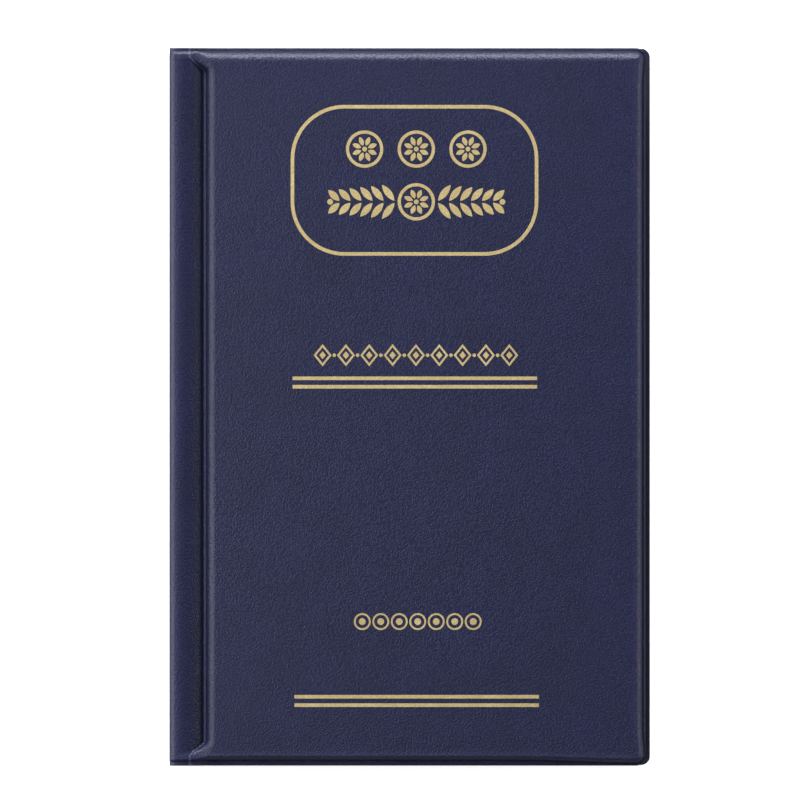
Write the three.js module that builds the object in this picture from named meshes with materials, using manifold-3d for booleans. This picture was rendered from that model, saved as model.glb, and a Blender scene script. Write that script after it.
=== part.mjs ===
// Coin album: a padded, heat-sealed cover, a boarded spine and ten clear pocket leaves.
//
// Millimetres. The album lies closed on its back cover. +X runs from the spine to the fore
// edge, +Y to the head of the page and +Z up to the front cover. The origin is at the middle
// of the underside.
import * as THREE from "three";
import { mergeVertices } from "three/addons/utils/BufferGeometryUtils.js";
import Module from "manifold-3d";

const wasm = await Module();
wasm.setup();

// Whole album
const WIDTH = 134;
const HEIGHT = 200;
const THICKNESS = 20;
const HALF_WIDTH = WIDTH / 2;
const HALF_HEIGHT = HEIGHT / 2;
const FORE_EDGE_STEP = 1.4; // the back cover shows this much past the front one

// Layers of a cover, from outside to inside, and the air between two layers
const SKIN = 0.5;
const FOAM = 0.9;
const BOARD = 1.6;
const LINER = 0.25;
const LAYER_GAP = 0.05;
const LINER_GAP = 0.1; // between the board and the liner
const COVER = SKIN + FOAM + BOARD + LINER + 2 * LAYER_GAP + LINER_GAP;

// Outline of a cover
const CORNER_RADIUS = 2.5;
const RIM = 1.5; // flat welded edge around the padded area
const SIDE_GAP = 0.3; // between the skin's wall and the board or foam inside it
const STRIP_END = 9.4; // from the fold to the bottom of the weld groove
const PADDING_START = 11.1; // from the fold to the padded area

// Spine
const FOLD = SKIN / 2; // the fold's axis lies in the middle of the skin
const SPINE_BOARD_MARGIN = 1.4;
const SPINE_LINER_MARGIN = 1.6;
const BINDING_THICKNESS = 1;
const BINDING_MARGIN = 3.6;

// Leaves
const LEAF_COUNT = 10;
const LEAF_PITCH = 1.25;
const LEAF_HEIGHT = 188;
const LEAF_REACH = 125; // from the pivot to the fore edge of a leaf
const LEAF_CORNER = 3;
const FILM = 0.25;
const POCKET_DEPTH = 0.3; // between the two films of an empty leaf
const ROOT_GAP = 0.2; // from the pivot to the film
const PIVOT_GAP = 0.4; // from the binding strip to the pivots
const GUARD_START = 3.6;
const POCKETS_START = 12;

// Pockets
const COLUMNS = 3;
const ROWS = 5;
const POCKET = 37;
const LEAF_EDGE = 1.5;
const SLIT_WIDTH = 32;
const SLIT_HEIGHT = 1;
const SLIT_DROP = 2.5; // from the top of a pocket to its slit
const NOTCH_TOP = 12;
const NOTCH_BOTTOM = 7;
const NOTCH_DEPTH = 3.8;

// Gold foil on the front
const FOIL = 0.05;
const FOIL_LIFT = 0.02;
const FOIL_X = 1.3;
const FRAME_WIDTH = 69;
const FRAME_HEIGHT = 42;
const FRAME_Y = 63.1;
const FRAME_RADIUS = 15;
const FRAME_LINE = 1.15;
const RULE_LENGTH = 68.1;
const RULE_LINE = 1.2;
const RULE_PITCH = 2.35;
const RULE_PAIRS_Y = [6.6, -82.1];

// Cover surfaces: [colour, roughness, metalness]
const LEATHERETTE = [0x3a3d58, 0.5, 0];
const PADDING_FOAM = [0xd9d4c4, 0.95, 0];
const GREYBOARD = [0x9a958a, 0.9, 0];
const LINER_FILM = [0x23253a, 0.55, 0];
const BINDING_PLASTIC = [0x1d1f30, 0.45, 0];
const CLEAR_FILM = [0xdfe8ee, 0.15, 0];
const GOLD_FOIL = [0xc9b070, 0.35, 0.9];

const ARC_SEGMENTS = 3;

/** A named mesh with a material of its own. */
function part(name, geometry, [color, roughness, metalness]) {
  const mesh = new THREE.Mesh(
    geometry,
    new THREE.MeshStandardMaterial({ color, roughness, metalness }),
  );
  mesh.name = name;
  return mesh;
}

/** A rectangle whose left corners are square and whose right corners may be round. */
function panelShape(left, right, bottom, top, radius = 0) {
  const shape = new THREE.Shape();
  shape.moveTo(left, bottom);
  shape.lineTo(right - radius, bottom);
  if (radius > 0) {
    shape.absarc(right - radius, bottom + radius, radius, -Math.PI / 2, 0);
    shape.absarc(right - radius, top - radius, radius, 0, Math.PI / 2);
  } else {
    shape.lineTo(right, top);
  }
  shape.lineTo(left, top);
  return shape;
}

/** A flat sheet of the given outline between two heights. */
function sheet(shape, low, high) {
  const geometry = new THREE.ExtrudeGeometry(shape, {
    depth: high - low,
    bevelEnabled: false,
    curveSegments: ARC_SEGMENTS,
  });
  geometry.translate(0, 0, low);
  return geometry;
}

/** A closed geometry as a solid that can be joined and cut. */
function solid(geometry) {
  const bare = geometry.clone();
  bare.deleteAttribute("normal");
  bare.deleteAttribute("uv");
  const merged = mergeVertices(bare, 1e-5);
  const mesh = new wasm.Mesh({
    numProp: 3,
    vertProperties: new Float32Array(merged.attributes.position.array),
    triVerts: new Uint32Array(merged.index.array),
  });
  return new wasm.Manifold(mesh);
}

/** A solid back as a geometry. */
function geometryOf(body) {
  const mesh = body.getMesh();
  const geometry = new THREE.BufferGeometry();
  geometry.setAttribute("position", new THREE.BufferAttribute(mesh.vertProperties, 3));
  geometry.setIndex(new THREE.BufferAttribute(mesh.triVerts, 1));
  return geometry;
}

/** The panel of a cover inside its outline, pulled in all round by an inset. */
function paddedShape(right, inset) {
  return panelShape(
    -HALF_WIDTH + PADDING_START + inset,
    right - RIM - inset,
    -HALF_HEIGHT + RIM + inset,
    HALF_HEIGHT - RIM - inset,
    CORNER_RADIUS,
  );
}

/** The soft strip between fold and weld groove, falling from the outer face to the liner. */
function stripGeometry() {
  const groove = COVER - LINER - LAYER_GAP;
  const section = new THREE.Shape();
  section.moveTo(-HALF_WIDTH + 2 * FOLD, 0);
  section.lineTo(-HALF_WIDTH + STRIP_END - SIDE_GAP, groove - SKIN);
  section.lineTo(-HALF_WIDTH + STRIP_END - SIDE_GAP, groove);
  section.lineTo(-HALF_WIDTH + 2 * FOLD, SKIN);
  const geometry = new THREE.ExtrudeGeometry(section, { depth: HEIGHT, bevelEnabled: false });
  geometry.rotateX(Math.PI / 2);
  geometry.translate(0, HALF_HEIGHT, 0);
  return geometry;
}

/** The whole outline of a cover's welded sheets, from the weld groove to the fore edge. */
function weldedShape(right) {
  return panelShape(-HALF_WIDTH + STRIP_END, right, -HALF_HEIGHT, HALF_HEIGHT, CORNER_RADIUS);
}

/** A closed body through a row of convex outlines of equal point count, each [shape, height]. */
function loftGeometry(rings) {
  const loops = rings.map(([shape]) => shape.getPoints(ARC_SEGMENTS));
  const count = loops[0].length;
  const positions = loops.flatMap((loop, ring) =>
    loop.flatMap((point) => [point.x, point.y, rings[ring][1]]),
  );
  const lastStart = (rings.length - 1) * count;
  const faces = [];
  for (let corner = 1; corner + 1 < count; corner += 1) {
    faces.push([0, corner + 1, corner]);
    faces.push([lastStart, lastStart + corner, lastStart + corner + 1]);
  }
  for (let ring = 0; ring + 1 < rings.length; ring += 1) {
    for (let side = 0; side < count; side += 1) {
      const a = ring * count + side;
      const b = ring * count + ((side + 1) % count);
      faces.push([a, b, b + count], [a, b + count, a + count]);
    }
  }
  const geometry = new THREE.BufferGeometry();
  geometry.setAttribute("position", new THREE.Float32BufferAttribute(positions, 3));
  geometry.setIndex(faces.flat());
  return geometry;
}

/** The outer skin of a cover lying face down: a tray for the padding, and its welded rim. */
function skinGeometry(right) {
  const inner = COVER - LINER - LAYER_GAP;
  return loftGeometry([
    [paddedShape(right, 0), 0],
    [paddedShape(right, 0), inner - SKIN],
    [weldedShape(right), inner - SKIN],
    [weldedShape(right), inner],
    [paddedShape(right, SKIN), inner],
    [paddedShape(right, SKIN), SKIN],
  ]);
}

/** The hinge strip and the four layers of a cover, lying face down at height 0. */
function coverLayers(name, right) {
  const foamLow = SKIN + LAYER_GAP;
  const boardLow = foamLow + FOAM + LAYER_GAP;
  const linerLow = boardLow + BOARD + LINER_GAP;
  const padShape = paddedShape(right, SKIN + SIDE_GAP);
  return [
    part(`${name}_skin`, skinGeometry(right), LEATHERETTE),
    part(`${name}_hinge_strip`, stripGeometry(), LEATHERETTE),
    part(`${name}_foam`, sheet(padShape, foamLow, foamLow + FOAM), PADDING_FOAM),
    part(`${name}_board`, sheet(padShape, boardLow, boardLow + BOARD), GREYBOARD),
    part(`${name}_liner`, sheet(weldedShape(right), linerLow, linerLow + LINER), LINER_FILM),
  ];
}

function backCover() {
  const cover = new THREE.Group();
  cover.add(...coverLayers("back", HALF_WIDTH));
  return cover;
}

/** The front cover is a back cover turned over its long axis. */
function frontCover() {
  const cover = new THREE.Group();
  cover.add(...coverLayers("front", HALF_WIDTH - FORE_EDGE_STEP));
  cover.rotation.x = Math.PI;
  cover.position.z = THICKNESS;
  return cover;
}

/** An upright sheet of the spine, from one depth to another behind the spine's outer face. */
function spineSheet(name, depthFrom, depthTo, margin, halfLength, look) {
  const width = depthTo - depthFrom;
  const geometry = new THREE.BoxGeometry(width, 2 * halfLength, THICKNESS - 2 * margin);
  const mesh = part(name, geometry, look);
  mesh.position.set(-HALF_WIDTH + depthFrom + width / 2, 0, THICKNESS / 2);
  return mesh;
}

function spine() {
  const boardFrom = SKIN + LAYER_GAP;
  const linerFrom = boardFrom + BOARD + LAYER_GAP;
  const bindingFrom = linerFrom + LINER + LAYER_GAP;
  const group = new THREE.Group();
  group.add(
    spineSheet("spine_skin", 0, SKIN, 2 * FOLD, HALF_HEIGHT, LEATHERETTE),
    spineSheet(
      "spine_board", boardFrom, boardFrom + BOARD, SPINE_BOARD_MARGIN,
      HALF_HEIGHT - RIM, GREYBOARD,
    ),
    spineSheet(
      "spine_liner", linerFrom, linerFrom + LINER, SPINE_LINER_MARGIN,
      HALF_HEIGHT - RIM, LINER_FILM,
    ),
    spineSheet(
      "binding_strip", bindingFrom, bindingFrom + BINDING_THICKNESS, BINDING_MARGIN,
      LEAF_HEIGHT / 2, BINDING_PLASTIC,
    ),
  );
  return group;
}

/** The open mouth of one pocket: a slit with a thumb notch below its middle. */
function mouthShape(centreX, topY) {
  const slitBottom = topY - SLIT_HEIGHT;
  return new THREE.Shape([
    new THREE.Vector2(centreX - SLIT_WIDTH / 2, topY),
    new THREE.Vector2(centreX - SLIT_WIDTH / 2, slitBottom),
    new THREE.Vector2(centreX - NOTCH_TOP / 2, slitBottom),
    new THREE.Vector2(centreX - NOTCH_BOTTOM / 2, slitBottom - NOTCH_DEPTH),
    new THREE.Vector2(centreX + NOTCH_BOTTOM / 2, slitBottom - NOTCH_DEPTH),
    new THREE.Vector2(centreX + NOTCH_TOP / 2, slitBottom),
    new THREE.Vector2(centreX + SLIT_WIDTH / 2, slitBottom),
    new THREE.Vector2(centreX + SLIT_WIDTH / 2, topY),
  ]);
}

/** The pocket film of a leaf, with one mouth for each pocket. */
function pocketFilmGeometry() {
  const half = LEAF_HEIGHT / 2;
  const low = POCKET_DEPTH / 2;
  const plate = panelShape(POCKETS_START, LEAF_REACH, -half, half, LEAF_CORNER);
  let film = solid(sheet(plate, low, low + FILM));
  for (let column = 0; column < COLUMNS; column += 1) {
    for (let row = 0; row < ROWS; row += 1) {
      const centreX = POCKETS_START + (column + 0.5) * POCKET;
      const topY = half - LEAF_EDGE - row * POCKET - SLIT_DROP;
      film = film.subtract(solid(sheet(mouthShape(centreX, topY), 0, 1)));
    }
  }
  return geometryOf(film);
}

/** One leaf: a plain back film, a pocket film over it and a guard where it is bound. */
function leaf(number, height, pocketGeometry) {
  const name = `leaf_${String(number).padStart(2, "0")}`;
  const half = LEAF_HEIGHT / 2;
  const low = -POCKET_DEPTH / 2 - FILM;
  const high = POCKET_DEPTH / 2;
  const backShape = panelShape(ROOT_GAP, LEAF_REACH, -half, half, LEAF_CORNER);
  const guardShape = panelShape(GUARD_START, POCKETS_START - SIDE_GAP, -half, half);
  const group = new THREE.Group();
  group.add(
    part(`${name}_back_film`, sheet(backShape, low, low + FILM), CLEAR_FILM),
    part(`${name}_pocket_film`, pocketGeometry, CLEAR_FILM),
    part(`${name}_guard`, sheet(guardShape, high, high + FILM), CLEAR_FILM),
  );
  const bindingFace = SKIN + BOARD + LINER + 3 * LAYER_GAP + BINDING_THICKNESS;
  group.position.set(-HALF_WIDTH + bindingFace + PIVOT_GAP, 0, height);
  return group;
}

function leaves() {
  const block = new THREE.Group();
  const pocketGeometry = pocketFilmGeometry();
  for (let number = 1; number <= LEAF_COUNT; number += 1) {
    const fromMiddle = number - (LEAF_COUNT + 1) / 2;
    block.add(leaf(number, THICKNESS / 2 + fromMiddle * LEAF_PITCH, pocketGeometry));
  }
  return block;
}

/** The rounded gold frame. */
function frameGeometry() {
  const shape = roundedShape(FRAME_WIDTH, FRAME_HEIGHT, FRAME_RADIUS);
  shape.holes.push(
    roundedShape(
      FRAME_WIDTH - 2 * FRAME_LINE, FRAME_HEIGHT - 2 * FRAME_LINE, FRAME_RADIUS - FRAME_LINE,
    ),
  );
  return sheet(shape, 0, FOIL);
}

/** A rectangle about the origin with four round corners. */
function roundedShape(width, height, radius) {
  const x = width / 2 - radius;
  const y = height / 2 - radius;
  const shape = new THREE.Shape();
  shape.absarc(x, -y, radius, -Math.PI / 2, 0);
  shape.absarc(x, y, radius, 0, Math.PI / 2);
  shape.absarc(-x, y, radius, Math.PI / 2, Math.PI);
  shape.absarc(-x, -y, radius, Math.PI, 1.5 * Math.PI);
  shape.closePath();
  return shape;
}

/** The foil pressed on the front cover: a frame and two pairs of rules. */
function foil() {
  const group = new THREE.Group();
  group.position.set(FOIL_X, 0, THICKNESS + FOIL_LIFT);
  const frame = part("foil_frame", frameGeometry(), GOLD_FOIL);
  frame.position.y = FRAME_Y;
  group.add(frame);
  let number = 1;
  for (const pairY of RULE_PAIRS_Y) {
    for (const side of [1, -1]) {
      const geometry = new THREE.BoxGeometry(RULE_LENGTH, RULE_LINE, FOIL);
      const rule = part(`foil_rule_${number}`, geometry, GOLD_FOIL);
      rule.position.set(0, pairY + (side * RULE_PITCH) / 2, FOIL / 2);
      group.add(rule);
      number += 1;
    }
  }
  return group;
}

const album = new THREE.Group();
album.add(backCover(), spine(), leaves(), frontCover(), foil());

export default album;
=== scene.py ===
"""Coin album: a padded leatherette cover around ten leaves of clear coin pockets."""

import logging
import math
from dataclasses import dataclass, field
from enum import Enum
from typing import Callable, Sequence

import bpy
import numpy as np
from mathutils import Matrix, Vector


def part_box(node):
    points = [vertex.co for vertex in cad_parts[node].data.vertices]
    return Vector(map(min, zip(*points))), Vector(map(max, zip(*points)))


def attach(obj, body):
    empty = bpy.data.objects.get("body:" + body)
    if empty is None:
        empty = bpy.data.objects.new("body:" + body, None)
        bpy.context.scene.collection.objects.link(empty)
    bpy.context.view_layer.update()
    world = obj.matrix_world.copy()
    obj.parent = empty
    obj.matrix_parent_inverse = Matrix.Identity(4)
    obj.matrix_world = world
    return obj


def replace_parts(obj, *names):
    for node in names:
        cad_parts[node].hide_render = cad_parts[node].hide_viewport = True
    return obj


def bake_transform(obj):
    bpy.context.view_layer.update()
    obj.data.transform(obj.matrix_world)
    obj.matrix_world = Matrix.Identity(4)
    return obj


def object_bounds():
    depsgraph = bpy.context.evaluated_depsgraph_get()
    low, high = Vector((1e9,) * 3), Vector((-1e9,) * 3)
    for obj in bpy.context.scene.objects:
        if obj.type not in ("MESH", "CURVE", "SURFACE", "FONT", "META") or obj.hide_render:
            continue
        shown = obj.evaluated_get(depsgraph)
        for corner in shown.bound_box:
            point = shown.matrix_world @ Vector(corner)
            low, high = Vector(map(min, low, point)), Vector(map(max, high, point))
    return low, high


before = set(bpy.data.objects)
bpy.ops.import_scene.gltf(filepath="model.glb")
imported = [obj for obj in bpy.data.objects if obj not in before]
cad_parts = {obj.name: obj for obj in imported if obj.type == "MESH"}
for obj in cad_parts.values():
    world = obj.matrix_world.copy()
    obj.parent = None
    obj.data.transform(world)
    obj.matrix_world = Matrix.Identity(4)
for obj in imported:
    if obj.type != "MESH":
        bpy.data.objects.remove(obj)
CAD_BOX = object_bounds()

MM = 0.001
HAIR = 0.01 * MM
QUARTER_TURN = math.pi / 2.0
LOG = logging.getLogger("coin_album")
Field = np.ndarray
Colour = tuple[float, float, float]


# ---------------------------------------------------------------- shaping helpers


def smooth_step(t: Field) -> Field:
    """Eases from 0 to 1 as t goes from 0 to 1."""
    t = np.clip(t, 0.0, 1.0)
    return t * t * (3.0 - 2.0 * t)


def smooth_min(a: Field, b: Field, width: float) -> Field:
    """The smaller of two fields, rounded where they are less than a width apart."""
    h = np.clip(0.5 + 0.5 * (b - a) / width, 0.0, 1.0)
    return b + (a - b) * h - width * h * (1.0 - h)


def ridge(offset: Field, width: float) -> Field:
    """A bell of height 1 across a line, at some offset from the line."""
    return np.exp(-((offset / width) ** 2))


def gentle_waves(x: Field, y: Field, seed: int, length: float) -> Field:
    """A slow, irregular swell between about -1 and 1, the same for the same seed.

    Args:
        x: Positions across.
        y: Positions along.
        seed: Which swell.
        length: Rough length of one wave.

    Returns:
        The swell at each position.
    """
    rng = np.random.default_rng(seed)
    swell = np.zeros_like(x)
    waves = 5
    shortest, longest = 0.7, 1.6
    for _ in range(waves):
        heading, phase = rng.uniform(0.0, 2.0 * math.pi, 2)
        stretch = rng.uniform(shortest, longest)
        run = (x * math.cos(heading) + y * math.sin(heading)) / (length * stretch)
        swell += np.sin(2.0 * math.pi * run + phase) / waves
    return swell


def round_corner(x: Field, y: Field, radius: float, fore: float, half: float) -> tuple[Field, Field]:
    """Draws the square corners at the fore edge onto a circle.

    Args:
        x: Positions across.
        y: Positions along.
        radius: The corner's radius.
        fore: Where the fore edge is.
        half: How far the head and tail are from the middle.

    Returns:
        The new positions across and along.
    """
    a = np.maximum(x - (fore - radius), 0.0) / radius
    b = np.maximum(np.abs(y) - (half - radius), 0.0) / radius
    inside = (a > 0.0) & (b > 0.0)
    new_x = np.where(inside, fore - radius + radius * a * np.sqrt(1.0 - b**2 / 2.0), x)
    new_y = np.where(inside, half - radius + radius * b * np.sqrt(1.0 - a**2 / 2.0), np.abs(y))
    return new_x, np.copysign(new_y, y)


def stations(start: float, *runs: tuple[float, int]) -> Field:
    """Positions along a line, in runs of even steps.

    Args:
        start: The first position.
        *runs: The end of each run and its number of steps.

    Returns:
        All positions, from start to the end of the last run.
    """
    found = [start]
    for end, steps in runs:
        found.extend(np.linspace(found[-1], end, steps + 1)[1:])
    return np.array(found)


def deselect_all() -> None:
    """Leaves nothing selected."""
    bpy.ops.object.select_all(action="DESELECT")


def pick(piece: bpy.types.Object) -> None:
    """Selects one piece alone and makes it active."""
    deselect_all()
    piece.select_set(True)
    bpy.context.view_layer.objects.active = piece


def named(name: str) -> bpy.types.Object:
    """Names the piece just added and its mesh, and returns the piece."""
    piece = bpy.context.active_object
    piece.name = piece.data.name = name
    return piece


def settle() -> None:
    """Puts the active object's place, turn and scale into its mesh."""
    bpy.ops.object.transform_apply(location=True, rotation=True, scale=True)


def points_of(piece: bpy.types.Object) -> Field:
    """The piece's points, one row each."""
    flat = np.empty(len(piece.data.vertices) * 3)
    piece.data.vertices.foreach_get("co", flat)
    return flat.reshape(-1, 3)


def move_points(piece: bpy.types.Object, points: Field) -> None:
    """Puts the piece's points in new places, one row each."""
    piece.data.vertices.foreach_set("co", np.ascontiguousarray(points).ravel())
    piece.data.update()


def mark_points(piece: bpy.types.Object, name: str, values: Field) -> None:
    """Keeps a value on each point, which a material can read by name."""
    kept = piece.data.attributes.new(name, "FLOAT", "POINT")
    kept.data.foreach_set("value", np.asarray(values, np.float32))


def apply_modifier(piece: bpy.types.Object, kind: str, **settings: object) -> None:
    """Adds a modifier to a piece and applies it.

    Args:
        piece: The piece.
        kind: Blender's name for the modifier's type.
        **settings: The modifier's own settings.
    """
    pick(piece)
    modifier = piece.modifiers.new(kind.lower(), kind)
    for key, value in settings.items():
        setattr(modifier, key, value)
    bpy.ops.object.modifier_apply(modifier=modifier.name)


def edit(piece: bpy.types.Object, mode: str = "FACE", action: str = "DESELECT") -> None:
    """Opens a piece in edit mode.

    Args:
        piece: The piece.
        mode: What is selected in edit mode: VERT, EDGE or FACE.
        action: What happens to the selection: SELECT or DESELECT.
    """
    pick(piece)
    bpy.ops.object.mode_set(mode="EDIT")
    bpy.ops.mesh.select_mode(type=mode)
    bpy.ops.mesh.select_all(action=action)


def leave_edit() -> None:
    """Goes back to object mode."""
    bpy.ops.object.mode_set(mode="OBJECT")


def work_whole(
    piece: bpy.types.Object, operator: Callable[..., object], mode: str = "FACE", **settings: object
) -> None:
    """Runs one edit-mode operator on all of a piece.

    Args:
        piece: The piece.
        operator: The operator.
        mode: What it works on: VERT, EDGE or FACE.
        **settings: The operator's own settings.
    """
    edit(piece, mode, "SELECT")
    operator(**settings)
    leave_edit()


def select_faces(piece: bpy.types.Object, test: Callable[[Vector], bool]) -> None:
    """Selects the faces whose centre passes a test, and leaves the piece in edit mode."""
    edit(piece)
    leave_edit()
    for face in piece.data.polygons:
        face.select = test(face.center)
    bpy.ops.object.mode_set(mode="EDIT")


def add_block(name: str, low: Vector, high: Vector) -> bpy.types.Object:
    """Adds a block between two corners.

    Args:
        name: The piece's name.
        low: Its lowest corner.
        high: Its highest corner.

    Returns:
        The block.
    """
    deselect_all()
    bpy.ops.mesh.primitive_cube_add(size=1, location=(low + high) / 2.0, scale=high - low)
    piece = named(name)
    settle()
    return piece


def add_sheet(
    name: str,
    across: Sequence[float],
    along: Sequence[float],
    place: Callable[[Field, Field], Field],
) -> bpy.types.Object:
    """Adds a grid and lays it over a surface.

    Args:
        name: The piece's name.
        across: Stations in the first direction.
        along: Stations in the second direction.
        place: Takes both stations of each point and gives its place, one row each.

    Returns:
        The sheet.
    """
    deselect_all()
    columns, rows = len(across) - 1, len(along) - 1
    bpy.ops.mesh.primitive_grid_add(x_subdivisions=columns, y_subdivisions=rows, size=2)
    piece = named(name)
    flat = points_of(piece)
    i = np.rint((flat[:, 0] + 1.0) / 2.0 * columns).astype(int)
    j = np.rint((flat[:, 1] + 1.0) / 2.0 * rows).astype(int)
    move_points(piece, place(np.asarray(across)[i], np.asarray(along)[j]))
    return piece


def turn_faces(piece: bpy.types.Object) -> None:
    """Turns every face of a piece over."""
    work_whole(piece, bpy.ops.mesh.flip_normals)


def thicken(piece: bpy.types.Object, thickness: float) -> None:
    """Gives a sheet its wall, on the side its faces point away from."""
    apply_modifier(piece, "SOLIDIFY", thickness=thickness, offset=-1.0)


def finish_piece(
    piece: bpy.types.Object, material: bpy.types.Material, degrees: float
) -> bpy.types.Object:
    """Shades a piece, gives it its material and logs how many faces it has.

    Args:
        piece: The piece.
        material: Its material.
        degrees: Edges sharper than this stay crisp.

    Returns:
        The piece.
    """
    pick(piece)
    bpy.ops.object.shade_smooth_by_angle(angle=math.radians(degrees))
    piece.data.materials.clear()
    piece.data.materials.append(material)
    LOG.info("%s: %d faces", piece.name, len(piece.data.polygons))
    return piece


def dress_node(node: str, material: bpy.types.Material) -> None:
    """Gives a CAD node its material.

    Args:
        node: The node's name.
        material: The material.
    """
    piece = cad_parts[node]
    if not piece.material_slots:
        piece.data.materials.append(material)
    for slot in piece.material_slots:
        slot.material = material


# ---------------------------------------------------------------- material helpers


class Tree:
    """Adds nodes to a node tree and joins them."""

    def __init__(self, tree: bpy.types.NodeTree) -> None:
        """Keeps the tree to add to."""
        self.tree = tree

    def add(
        self, kind: str, inputs: dict[str | int, object] | None = None, **settings: object
    ) -> bpy.types.Node:
        """Adds a node.

        Args:
            kind: The node's type, without the ShaderNode in front.
            inputs: Values or output sockets, by the input's name or number.
            **settings: The node's own settings.

        Returns:
            The node.
        """
        node = self.tree.nodes.new("ShaderNode" + kind)
        for key, value in settings.items():
            setattr(node, key, value)
        for key, value in (inputs or {}).items():
            self.feed(node, key, value)
        return node

    def feed(self, node: bpy.types.Node, key: str | int, value: object) -> None:
        """Sets an input, or joins an output to it.

        Args:
            node: The node.
            key: The input's name or number.
            value: A value or an output socket.
        """
        if isinstance(value, bpy.types.NodeSocket):
            self.tree.links.new(value, node.inputs[key])
        else:
            node.inputs[key].default_value = value

    def math(self, operation: str, *values: object, clamp: bool = False) -> bpy.types.NodeSocket:
        """Adds a Math node with these inputs and gives its output."""
        return self.add("Math", dict(enumerate(values)), operation=operation, use_clamp=clamp).outputs[0]

    def times(self, a: object, b: object) -> bpy.types.NodeSocket:
        """The product of two values."""
        return self.math("MULTIPLY", a, b)

    def span(
        self, value: bpy.types.NodeSocket, low: float, high: float, to_low: float = 0.0, to_high: float = 1.0
    ) -> bpy.types.NodeSocket:
        """Maps one range of values, low to high, to another."""
        return self.add("MapRange", {0: value, 1: low, 2: high, 3: to_low, 4: to_high}).outputs[0]

    def mix(self, share: object, a: object, b: object) -> bpy.types.NodeSocket:
        """Mixes a share of colour b into colour a, by the colour sockets of the Mix node."""
        return self.add("Mix", {0: share, 6: a, 7: b}, data_type="RGBA").outputs[2]

    def effect(self, group: bpy.types.ShaderNodeTree, **inputs: object) -> bpy.types.Node:
        """Puts a shared effect into a material.

        Args:
            group: The effect.
            **inputs: Its values.

        Returns:
            The group node.
        """
        node = self.tree.nodes.new("ShaderNodeGroup")
        node.node_tree = group
        for key, value in inputs.items():
            self.feed(node, key, value)
        return node

    def bump(self, shader: bpy.types.Node, height: object, depth: float, strength: float) -> None:
        """Gives a shader a relief.

        Args:
            shader: The shader.
            height: The relief, 0 to 1.
            depth: How deep the relief is.
            strength: How much of it shows.
        """
        relief = self.add("Bump", {"Strength": strength, "Distance": depth, "Height": height})
        self.feed(shader, "Normal", relief.outputs[0])


def rgba(colour: Colour) -> tuple[float, float, float, float]:
    """A colour with full alpha."""
    return (*colour, 1.0)


def grey(tone: float) -> tuple[float, float, float, float]:
    """A neutral colour with full alpha."""
    return (tone, tone, tone, 1.0)


def new_group(
    name: str, inputs: dict[str, float | None], outputs: Sequence[str]
) -> tuple[bpy.types.ShaderNodeTree, Tree, bpy.types.NodeOutputs, bpy.types.Node]:
    """Makes an empty node group with its sockets.

    Args:
        name: The group's name.
        inputs: Each input's first value; one without a value is a vector.
        outputs: The names of the values it puts out.

    Returns:
        The group, its tree helper, the sockets of its input node and its output node.
    """
    group = bpy.data.node_groups.new(name, "ShaderNodeTree")
    for key, value in inputs.items():
        kind = "NodeSocketVector" if value is None else "NodeSocketFloat"
        socket = group.interface.new_socket(name=key, in_out="INPUT", socket_type=kind)
        if value is not None:
            socket.default_value = value
    for key in outputs:
        group.interface.new_socket(name=key, in_out="OUTPUT", socket_type="NodeSocketFloat")
    source = group.nodes.new("NodeGroupInput")
    return group, Tree(group), source.outputs, group.nodes.new("NodeGroupOutput")


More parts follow.
